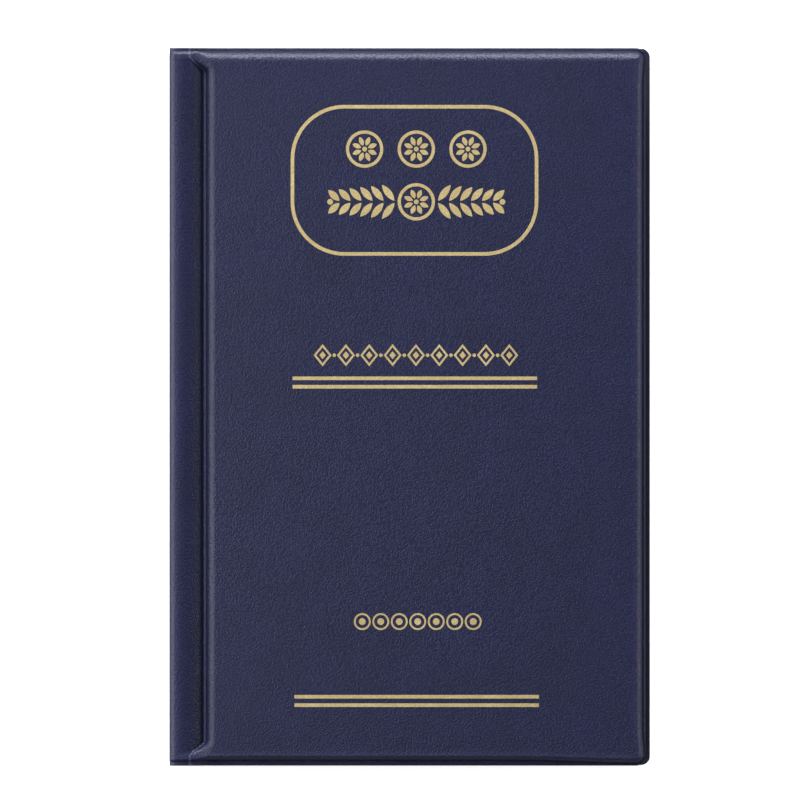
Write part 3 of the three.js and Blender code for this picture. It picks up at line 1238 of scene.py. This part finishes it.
@dataclass
class Binding:
    """The strip at the spine that the leaves are welded to."""

    finishes: Finishes
    edge: float = 0.05 * MM
    groove: float = 0.3 * MM
    groove_rim: float = 0.04 * MM
    groove_depth: float = 0.2 * MM

    def build(self) -> None:
        """Makes the strip, with a pressed line between each two leaves."""
        low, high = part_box("binding_strip")
        piece = add_block("binding_strip_ribbed", low, high)
        levels = sorted(
            (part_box(f"leaf_{k:02d}_back_film")[0].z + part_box(f"leaf_{k:02d}_pocket_film")[1].z) / 2.0
            for k in range(1, LeafBlock.count + 1)
        )
        middles = [(a + b) / 2.0 for a, b in zip(levels, levels[1:])]
        for z in middles:
            for cut in (z - self.groove / 2.0, z + self.groove / 2.0):
                work_whole(piece, bpy.ops.mesh.bisect, plane_co=(0.0, 0.0, cut), plane_no=(0.0, 0.0, 1.0))
        select_faces(
            piece,
            lambda at: at.x > high.x - HAIR and any(abs(at.z - z) < self.groove / 3.0 for z in middles),
        )
        bpy.ops.mesh.inset(thickness=self.groove_rim, depth=-self.groove_depth, use_individual=True)
        leave_edit()
        apply_modifier(piece, "BEVEL", width=self.edge, segments=2, limit_method="ANGLE")
        finish_piece(piece, self.finishes.binding, 35.0)
        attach(piece, "spine")
        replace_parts(piece, "binding_strip")
        dress_node("spine_board", self.finishes.greyboard)


@dataclass
class PocketPlan:
    """The plan of one leaf's pockets, measured from its left pocket edge and its head."""

    left: float
    fore: float
    head: float
    tail: float
    columns: int = 3
    rows: int = 5
    pitch: float = 37.0 * MM
    head_edge: float = 1.5 * MM
    slit_drop: float = 2.5 * MM
    slit_height: float = 0.9 * MM
    slit_width: float = 32.0 * MM
    notch_half: float = 6.0 * MM
    notch_depth: float = 3.8 * MM
    notch_reach: float = 9.5 * MM
    rim: float = 1.5 * MM
    weld_half: float = 0.45 * MM
    weld_fade: float = 0.9 * MM
    below_slit: float = 3.0 * MM

    def in_cell_x(self, x: Field) -> Field:
        """Distance from the left side of the pocket that x is in."""
        return np.clip(np.mod(x - self.left, self.pitch), 0.0, self.pitch)

    def below_cell_top(self, y: Field) -> Field:
        """Distance below the top of the pocket that y is in."""
        return np.mod(self.head - self.head_edge - y, self.pitch)

    def weld(self, x: Field, y: Field) -> Field:
        """1 on the weld lines around the pockets, 0 inside them."""
        over = x - self.left
        line_x = np.abs(over - np.clip(np.rint(over / self.pitch), 0, self.columns) * self.pitch)
        down = self.head - self.head_edge - y
        line_y = np.abs(down - np.clip(np.rint(down / self.pitch), 0, self.rows) * self.pitch)
        near = np.minimum(line_x, line_y)
        return 1.0 - smooth_step((near - self.weld_half) / self.weld_fade)

    def cell_columns(self) -> Field:
        """Stations across one pocket."""
        side = (self.pitch - self.slit_width) / 2.0
        centre = self.pitch / 2.0
        return stations(
            0.0, (self.rim, 3), (side, 1), (centre - self.notch_half, 2), (centre + self.notch_half, 8),
            (self.pitch - side, 2), (self.pitch - self.rim, 1), (self.pitch, 3),
        )

    def cell_rows(self) -> Field:
        """Stations down one pocket."""
        slit = self.slit_drop + self.slit_height
        return stations(
            0.0, (self.rim, 3), (self.slit_drop, 1), (slit, 1), (slit + self.below_slit, 3),
            (slit + self.notch_reach, 3), (self.pitch - self.rim, 4), (self.pitch, 3),
        )

    def all_columns(self) -> Field:
        """Stations across the whole pocket film."""
        cell = self.cell_columns()
        found = [self.left + k * self.pitch + c for k in range(self.columns) for c in cell[:-1]]
        end = self.left + self.columns * self.pitch
        return stations(found[0], *[(c, 1) for c in found[1:]], (end, 1), (self.fore, 3))

    def all_rows(self) -> Field:
        """Stations from the tail to the head of the pocket film."""
        cell = self.cell_rows()
        top = self.head - self.head_edge
        down = [top - k * self.pitch - c for k in range(self.rows) for c in cell[:-1]]
        down += [top - self.rows * self.pitch, self.tail]
        rising = sorted(down)
        return stations(rising[0], *[(c, 1) for c in rising[1:]], (self.head, 2))

    def notch_shift(self, x: Field, y: Field) -> Field:
        """How far points below a slit are drawn down to form the thumb notch."""
        from_centre = (self.in_cell_x(x) - self.pitch / 2.0) / self.notch_half
        curve = np.sqrt(np.maximum(1.0 - from_centre**2, 0.0))
        below = self.below_cell_top(y) - self.slit_drop - self.slit_height
        fade = np.where(below > -HAIR, np.clip(1.0 - below / self.notch_reach, 0.0, 1.0), 0.0)
        return self.notch_depth * curve * fade

    def in_slit(self, x: float, y: float) -> bool:
        """Whether a face's centre lies in one of the slits, before the notches are drawn down."""
        over = (x - self.left) % self.pitch - self.pitch / 2.0
        down = (self.head - self.head_edge - y) % self.pitch
        inside = x - self.left < self.columns * self.pitch
        return inside and abs(over) < self.slit_width / 2.0 and 0.0 < down - self.slit_drop < self.slit_height


@dataclass
class LeafBlock:
    """Ten leaves, each a back film and a pocket film welded together, with a stiffening guard."""

    finishes: Finishes
    count: int = 10
    corner: float = 3.0 * MM
    ripple: float = 0.07 * MM
    ripple_start: float = 4.0 * MM
    ripple_run: float = 20.0 * MM
    ripple_length: float = 85.0 * MM
    ripple_seed: int = 40
    root_run: float = 3.0 * MM
    root_weld: float = 0.3 * MM
    root_weld_fade: float = 1.2 * MM
    root_bend: float = 2.0 * MM
    dome: float = 0.12 * MM
    guard_rim: float = 0.7 * MM
    guard_step: float = 0.2 * MM
    guard_drop: float = 0.05 * MM
    guard_edge: float = 0.06 * MM
    guard_weld: float = 0.35
    # taken from the frame
    plan: PocketPlan = field(init=False)
    root: float = field(init=False)

    def __post_init__(self) -> None:
        """Takes the sizes that all leaves share from the frame."""
        low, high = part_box("leaf_01_pocket_film")
        self.plan = PocketPlan(left=low.x, fore=high.x, head=high.y, tail=low.y)
        self.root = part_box("binding_strip")[1].x

    def ripples(self, points: Field, k: int) -> Field:
        """The slight waves of one leaf, still at the binding."""
        x, y, _ = points.T
        away = smooth_step((x - self.root - self.ripple_start) / self.ripple_run)
        return self.ripple * gentle_waves(x, y, self.ripple_seed + k, self.ripple_length) * away

    def build_back(self, k: int) -> bpy.types.Object:
        """Makes one leaf's back film, which runs into the binding."""
        low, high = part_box(f"leaf_{k:02d}_back_film")
        columns = stations(
            self.root, (self.root + self.root_run, 8), (self.plan.left, 4),
            (high.x - self.corner, 24), (high.x, 6),
        )
        rows = stations(low.y, (low.y + self.corner, 6), (high.y - self.corner, 36), (high.y, 6))

        def place(x: Field, y: Field) -> Field:
            """Flat, with the corners at the fore edge round."""
            x, y = round_corner(x, y, self.corner, high.x, high.y)
            return np.stack([x, y, np.full_like(x, high.z)], axis=1)

        piece = add_sheet(f"leaf_{k:02d}_back_sheet", columns, rows, place)
        points = points_of(piece)
        points[:, 2] += self.ripples(points, k)
        move_points(piece, points)
        root_weld = 1.0 - smooth_step((points[:, 0] - self.root - self.root_weld) / self.root_weld_fade)
        mark_points(piece, "weld", np.maximum(root_weld, 0.0))
        thicken(piece, high.z - low.z)
        return finish_piece(piece, self.finishes.clear, 60.0)

    def build_pockets(self, k: int) -> bpy.types.Object:
        """Makes one leaf's pocket film: fifteen pockets with a slit and a thumb notch each."""
        low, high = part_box(f"leaf_{k:02d}_pocket_film")
        plan = self.plan
        back_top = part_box(f"leaf_{k:02d}_back_film")[1].z
        sink = low.z - back_top

        def place(x: Field, y: Field) -> Field:
            """Flat, at the film's outer face."""
            return np.stack([x, y, np.full_like(x, high.z)], axis=1)

        piece = add_sheet(f"leaf_{k:02d}_pocket_sheet", plan.all_columns(), plan.all_rows(), place)
        select_faces(piece, lambda at: plan.in_slit(at.x, at.y))
        bpy.ops.mesh.delete(type="FACE")
        leave_edit()
        points = points_of(piece)
        x, y = points[:, 0], points[:, 1]
        weld = plan.weld(x, y)
        cell_x = np.sin(math.pi * plan.in_cell_x(x) / plan.pitch)
        cell_y = np.sin(math.pi * plan.below_cell_top(y) / plan.pitch)
        drawn = plan.notch_shift(x, y)
        round_x, round_y = round_corner(x, y - drawn, self.corner, high.x, high.y)
        lift = self.dome * np.clip(cell_x * cell_y, 0.0, 1.0) * (1.0 - weld)
        z = high.z - sink * weld + lift + self.ripples(points, k)
        move_points(piece, np.stack([round_x, round_y, z], axis=1))
        mark_points(piece, "weld", weld)
        thicken(piece, high.z - low.z)
        return finish_piece(piece, self.finishes.clear, 60.0)

    def build_guard(self, k: int) -> bpy.types.Object:
        """Makes one leaf's guard, a stiffening strip beside the binding."""
        low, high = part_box(f"leaf_{k:02d}_guard")
        piece = add_block(f"leaf_{k:02d}_guard_strip", low, high)
        select_faces(piece, lambda at: at.z > high.z - HAIR)
        bpy.ops.mesh.inset(thickness=self.guard_rim)
        bpy.ops.mesh.inset(thickness=self.guard_step, depth=-self.guard_drop)
        leave_edit()
        angle = math.radians(60.0)
        apply_modifier(
            piece, "BEVEL", width=self.guard_edge, segments=2, limit_method="ANGLE", angle_limit=angle
        )
        points = points_of(piece)
        points[:, 2] += self.ripples(points, k)
        move_points(piece, points)
        mark_points(piece, "weld", np.full(len(points), self.guard_weld))
        return finish_piece(piece, self.finishes.clear, 35.0)

    def build(self) -> None:
        """Makes all leaves and joins each leaf's pocket film and guard to its body."""
        for k in range(1, self.count + 1):
            back, pockets, guard = self.build_back(k), self.build_pockets(k), self.build_guard(k)
            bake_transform(back)
            for piece, node in ((pockets, "pocket_film"), (guard, "guard")):
                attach(piece, f"leaf_{k:02d}")
                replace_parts(piece, f"leaf_{k:02d}_{node}")
            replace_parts(back, f"leaf_{k:02d}_back_film")


# ---------------------------------------------------------------- foil


@dataclass
class FoilStamping:
    """Gold foil pressed into the front cover: a frame, double rules and coin ornaments."""

    section: CoverSection
    finishes: Finishes
    lift: float = 0.03 * MM
    leaf: float = 0.04 * MM
    line: float = 1.0 * MM
    rule_shift: tuple[float, float, float, float] = (0.1 * MM, 0.1 * MM, 0.6 * MM, 0.6 * MM)
    rule_rise: float = 0.17 * MM
    corner: float = 15.0 * MM
    coin: float = 5.2 * MM
    coin_step: float = 14.4 * MM
    garland_half: float = 23.6 * MM
    band_half: float = 28.6 * MM
    disc: float = 2.35 * MM
    disc_step: float = 5.15 * MM
    emblem_shift: float = 0.5 * MM
    # one coin, as shares of its radius
    coin_rim: float = 0.17
    coin_petals: int = 8
    coin_heart: float = 0.13
    petal_start: float = 0.2
    petal_length: float = 0.5
    petal_width: float = 0.26
    petal_taper: float = 0.8
    coin_rise: float = 8.7 * MM
    # the garland, whose leaves grow shorter and close up towards its ends
    garland_drop: float = 6.0 * MM
    garland_pairs: int = 6
    garland_start: float = 0.9 * MM
    garland_leaf: float = 5.6 * MM
    garland_loss: float = 1.6 * MM
    garland_width: float = 1.9 * MM
    garland_spread: float = 0.3 * MM
    garland_turn: float = 52.0
    garland_close: float = 10.0
    garland_end: float = 0.4 * MM
    garland_dot: float = 0.8 * MM
    # the band of lozenges
    band_rise: float = 6.0 * MM
    band_shift: float = 0.4 * MM
    band_end: float = 2.6 * MM
    lozenges: int = 9
    lozenge: tuple[float, float] = (2.5 * MM, 3.1 * MM)
    lozenge_line: float = 0.55 * MM
    lozenge_heart: tuple[float, float] = (0.9 * MM, 1.1 * MM)
    band_dot: float = 0.5 * MM
    # the row of small coins
    discs: int = 7
    disc_rise: float = 20.5 * MM
    disc_shift: float = 0.9 * MM
    disc_line: float = 0.5 * MM
    disc_heart: float = 0.95 * MM
    shapes: list[bpy.types.Object] = field(default_factory=list)

    def add_disc(self, x: float, y: float, radius: float, points: int = 48) -> bpy.types.Object:
        """Adds a flat disc.

        Args:
            x: Its centre across.
            y: Its centre along.
            radius: Its radius.
            points: Number of points round it.

        Returns:
            The disc.
        """
        deselect_all()
        bpy.ops.mesh.primitive_circle_add(
            vertices=points, radius=radius, fill_type="NGON", location=(x, y, 0.0)
        )
        settle()
        self.shapes.append(bpy.context.active_object)
        return bpy.context.active_object

    def add_ring(self, x: float, y: float, radius: float, line: float, points: int = 48) -> None:
        """Adds a flat ring.

        Args:
            x: Its centre across.
            y: Its centre along.
            radius: Its outer radius.
            line: How wide the ring's line is.
            points: Number of points round it.
        """
        self.hollow(self.add_disc(x, y, radius, points), line)

    @staticmethod
    def hollow(shape: bpy.types.Object, line: float) -> None:
        """Leaves only a line round a flat face.

        Args:
            shape: A piece of one face.
            line: The line's width.
        """
        edit(shape, "FACE", "SELECT")
        bpy.ops.mesh.inset(thickness=line)
        bpy.ops.mesh.delete(type="FACE")
        leave_edit()

    def add_lozenge(self, x: float, y: float, half_x: float, half_y: float) -> bpy.types.Object:
        """Adds a flat lozenge.

        Args:
            x: Its centre across.
            y: Its centre along.
            half_x: Half its width.
            half_y: Half its height.

        Returns:
            The lozenge.
        """
        lozenge = self.add_disc(x, y, 1.0 * MM, 4)
        points = points_of(lozenge)
        points[:, 0] = x + (points[:, 0] - x) / MM * half_x
        points[:, 1] = y + (points[:, 1] - y) / MM * half_y
        move_points(lozenge, points)
        return lozenge

    def add_petal(self, x: float, y: float, length: float, width: float, turn: float) -> None:
        """Adds a leaf-shaped petal that starts at a point.

        Args:
            x: Where it starts, across.
            y: Where it starts, along.
            length: Its length.
            width: Its greatest width.
            turn: Its direction, in radians from +X.
        """
        petal = self.add_disc(0.0, 0.0, 1.0, 20)
        round_points = points_of(petal)
        along = (round_points[:, 0] + 1.0) / 2.0
        taper = np.sin(math.pi * along) ** self.petal_taper
        side = np.sign(round_points[:, 1]) * (np.abs(round_points[:, 1]) > 0.01)
        u, v = along * length, side * taper * width / 2.0
        turned_x = x + u * math.cos(turn) - v * math.sin(turn)
        turned_y = y + u * math.sin(turn) + v * math.cos(turn)
        move_points(petal, np.stack([turned_x, turned_y, np.zeros_like(u)], axis=1))

    def press(self, name: str) -> bpy.types.Object:
        """Joins the shapes made so far, gives them the foil's thickness and lays them on the skin.

        Args:
            name: The piece's name.

        Returns:
            The stamped piece.
        """
        deselect_all()
        for shape in self.shapes:
            shape.select_set(True)
        bpy.context.view_layer.objects.active = self.shapes[0]
        if len(self.shapes) > 1:
            bpy.ops.object.join()
        self.shapes = []
        piece = named(name)
        work_whole(piece, bpy.ops.mesh.normals_make_consistent, inside=False)
        if piece.data.polygons[0].normal.z < 0.0:
            turn_faces(piece)
        thicken(piece, self.leaf)
        points = points_of(piece)
        c = self.section
        on_skin = c.middle + c.height(points[:, 0], points[:, 1])
        points[:, 2] += on_skin + self.lift
        move_points(piece, points)
        finish_piece(piece, self.finishes.foil, 30.0)
        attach(piece, "front_cover")
        return piece

    def build_frame(self) -> None:
        """The rounded frame round the emblem."""
        low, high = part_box("foil_frame")
        centre, size = (low + high) / 2.0, high - low
        deselect_all()
        bpy.ops.mesh.primitive_plane_add(size=1, location=(centre.x, centre.y, 0.0))
        shape = bpy.context.active_object
        shape.scale = (size.x, size.y, 1.0)
        settle()
        work_whole(shape, bpy.ops.mesh.bevel, "VERT", offset=self.corner, segments=20, affect="VERTICES")
        self.hollow(shape, self.line)
        work_whole(shape, bpy.ops.mesh.subdivide, number_cuts=3)
        self.shapes.append(shape)
        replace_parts(self.press("foil_frame_line"), "foil_frame")

    def build_rules(self) -> None:
        """The two pairs of straight rules."""
        for number in range(1, 5):
            node = f"foil_rule_{number}"
            low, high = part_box(node)
            centre, size = (low + high) / 2.0, high - low
            deselect_all()
            bpy.ops.mesh.primitive_grid_add(
                x_subdivisions=40,
                y_subdivisions=1,
                size=1,
                location=(centre.x + self.rule_shift[number - 1], centre.y + self.rule_rise, 0.0),
            )
            shape = bpy.context.active_object
            shape.scale = (size.x, self.line, 1.0)
            settle()
            self.shapes.append(shape)
            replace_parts(self.press(f"foil_rule_line_{number}"), node)

    def add_coin(self, x: float, y: float, radius: float) -> None:
        """One coin: a rim, a rosette of eight petals and a small disc in the middle."""
        self.add_ring(x, y, radius, self.coin_rim * radius)
        start, length, width = (
            share * radius for share in (self.petal_start, self.petal_length, self.petal_width)
        )
        for p in range(self.coin_petals):
            turn = 2.0 * math.pi * p / self.coin_petals + math.pi / self.coin_petals
            self.add_petal(x + start * math.cos(turn), y + start * math.sin(turn), length, width, turn)
        self.add_disc(x, y, self.coin_heart * radius, 16)

    def build_coins(self, centre: Vector) -> None:
        """The upper row of the emblem: three coins."""
        for k in (-1, 0, 1):
            x = centre.x + self.emblem_shift + k * self.coin_step
            self.add_coin(x, centre.y + self.coin_rise, self.coin)
        self.press("foil_coin_row")

    def build_garland(self, centre: Vector) -> None:
        """The lower row of the emblem: a garland of leaves on both sides of a coin."""
        x, y = centre.x + self.emblem_shift, centre.y - self.garland_drop
        self.add_coin(x, y, self.coin)
        pairs = self.garland_pairs
        reach = self.garland_half - self.coin
        for way in (-1, 1):
            for p in range(pairs):
                share = p / pairs
                root = x + way * (self.coin + self.garland_start + reach * share)
                length = self.garland_leaf - self.garland_loss * share
                for up in (-1, 1):
                    turn = up * math.radians(self.garland_turn - self.garland_close * share)
                    turn = turn if way > 0 else math.pi - turn
                    self.add_petal(root, y + up * self.garland_spread, length, self.garland_width, turn)
            self.add_disc(x + way * (self.garland_half + self.garland_end), y, self.garland_dot, 20)
        self.press("foil_garland")

    def build_band(self, centre: Vector) -> None:
        """The band over the middle rules: lozenges with dots between them."""
        x, y = centre.x + self.band_shift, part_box("foil_rule_1")[1].y + self.band_rise
        step = 2.0 * (self.band_half - self.band_end) / (self.lozenges - 1)
        for k in range(self.lozenges):
            at = x + (k - (self.lozenges - 1) / 2.0) * step
            self.hollow(self.add_lozenge(at, y, *self.lozenge), self.lozenge_line)
            self.add_lozenge(at, y, *self.lozenge_heart)
            if k:
                self.add_disc(at - step / 2.0, y, self.band_dot, 16)
        self.press("foil_lozenge_band")

    def build_discs(self, centre: Vector) -> None:
        """The line over the lower rules: a row of small coins."""
        x, y = centre.x + self.disc_shift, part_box("foil_rule_3")[1].y + self.disc_rise
        for k in range(self.discs):
            at = x + (k - (self.discs - 1) / 2.0) * self.disc_step
            self.add_ring(at, y, self.disc, self.disc_line, 32)
            self.add_disc(at, y, self.disc_heart, 20)
        self.press("foil_small_coins")

    def build(self) -> None:
        """Makes every stamped piece."""
        low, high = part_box("foil_frame")
        centre = (low + high) / 2.0
        self.build_frame()
        self.build_rules()
        self.build_coins(centre)
        self.build_garland(centre)
        self.build_band(centre)
        self.build_discs(centre)


# ---------------------------------------------------------------- studio


@dataclass(frozen=True)
class SoftBox:
    """One soft light, aimed at the album."""

    name: str
    place: tuple[float, float, float]
    size: tuple[float, float]
    power: float

    def build(self) -> None:
        """Adds the light."""
        lamp = bpy.data.lights.new(self.name, "AREA")
        lamp.shape = "RECTANGLE"
        lamp.size, lamp.size_y = self.size
        lamp.energy = self.power
        holder = bpy.data.objects.new(self.name, lamp)
        holder.location = self.place
        aim = Vector((0.0, 0.0, 0.0)) - Vector(self.place)
        holder.rotation_euler = aim.to_track_quat("-Z", "Y").to_euler()
        bpy.context.scene.collection.objects.link(holder)


@dataclass
class Studio:
    """Pale floor, soft lights and the camera above the front cover."""

    sky: float = 0.105
    floor_glow: float = 0.8
    floor_tone: float = 0.95
    floor_bounce: float = 0.4
    floor_size: float = 6.0
    distance: float = 8.0
    view_width: float = 222.85 * MM
    view_centre: tuple[float, float] = (-2.74 * MM, 1.9 * MM)
    sensor: float = 36.0
    lights: tuple[SoftBox, ...] = (
        SoftBox("head_light", (0.0, 1.3, 0.62), (1.8, 0.5), 34.0),
        SoftBox("left_light", (-0.65, 0.05, 0.46), (0.57, 1.15), 6.0),
        SoftBox("right_light", (1.3, 0.0, 0.14), (0.16, 1.4), 5.5),
    )

    def build(self) -> None:
        """Makes the floor, the lights, the sky and the camera."""
        deselect_all()
        bpy.ops.mesh.primitive_plane_add(size=self.floor_size, location=(0.0, 0.0, 0.0))
        floor = named("studio_floor")
        material, tree, shader, _ = new_material("pale_floor")
        seen = tree.add("LightPath").outputs["Is Camera Ray"]
        tone = tree.mix(seen, grey(self.floor_bounce), grey(self.floor_tone))
        tree.feed(shader, "Base Color", tone)
        tree.feed(shader, "Roughness", 0.9)
        tree.feed(shader, "Specular IOR Level", 0.1)
        tree.feed(shader, "Emission Color", grey(1.0))
        tree.feed(shader, "Emission Strength", tree.math("MULTIPLY", seen, self.floor_glow))
        floor.data.materials.append(material)
        for light in self.lights:
            light.build()
        world = bpy.data.worlds.new("studio")
        world.use_nodes = True
        sky = world.node_tree.nodes["Background"]
        sky.inputs["Strength"].default_value = self.sky
        sky.inputs["Color"].default_value = grey(1.0)
        bpy.context.scene.world = world
        scene = bpy.context.scene
        scene.view_settings.view_transform = "Standard"
        lens = bpy.data.cameras.new("front_camera")
        lens.sensor_width = self.sensor
        lens.lens = self.sensor * self.distance / self.view_width
        lens.clip_end = 20.0
        holder = bpy.data.objects.new("front_camera", lens)
        holder.location = (*self.view_centre, CAD_BOX[1].z + self.distance)
        scene.collection.objects.link(holder)
        scene.camera = holder


def main() -> None:
    """Builds the album and its studio."""
    logging.basicConfig(level=logging.INFO, format="%(name)s: %(message)s")
    Studio().build()
    finishes = Finishes()
    covers = [Cover(side, finishes) for side in Side]
    for cover in covers:
        cover.build()
    Binding(finishes).build()
    LeafBlock(finishes).build()
    FoilStamping(covers[0].section, finishes).build()
    deselect_all()


if __name__ == "__main__":
    main()
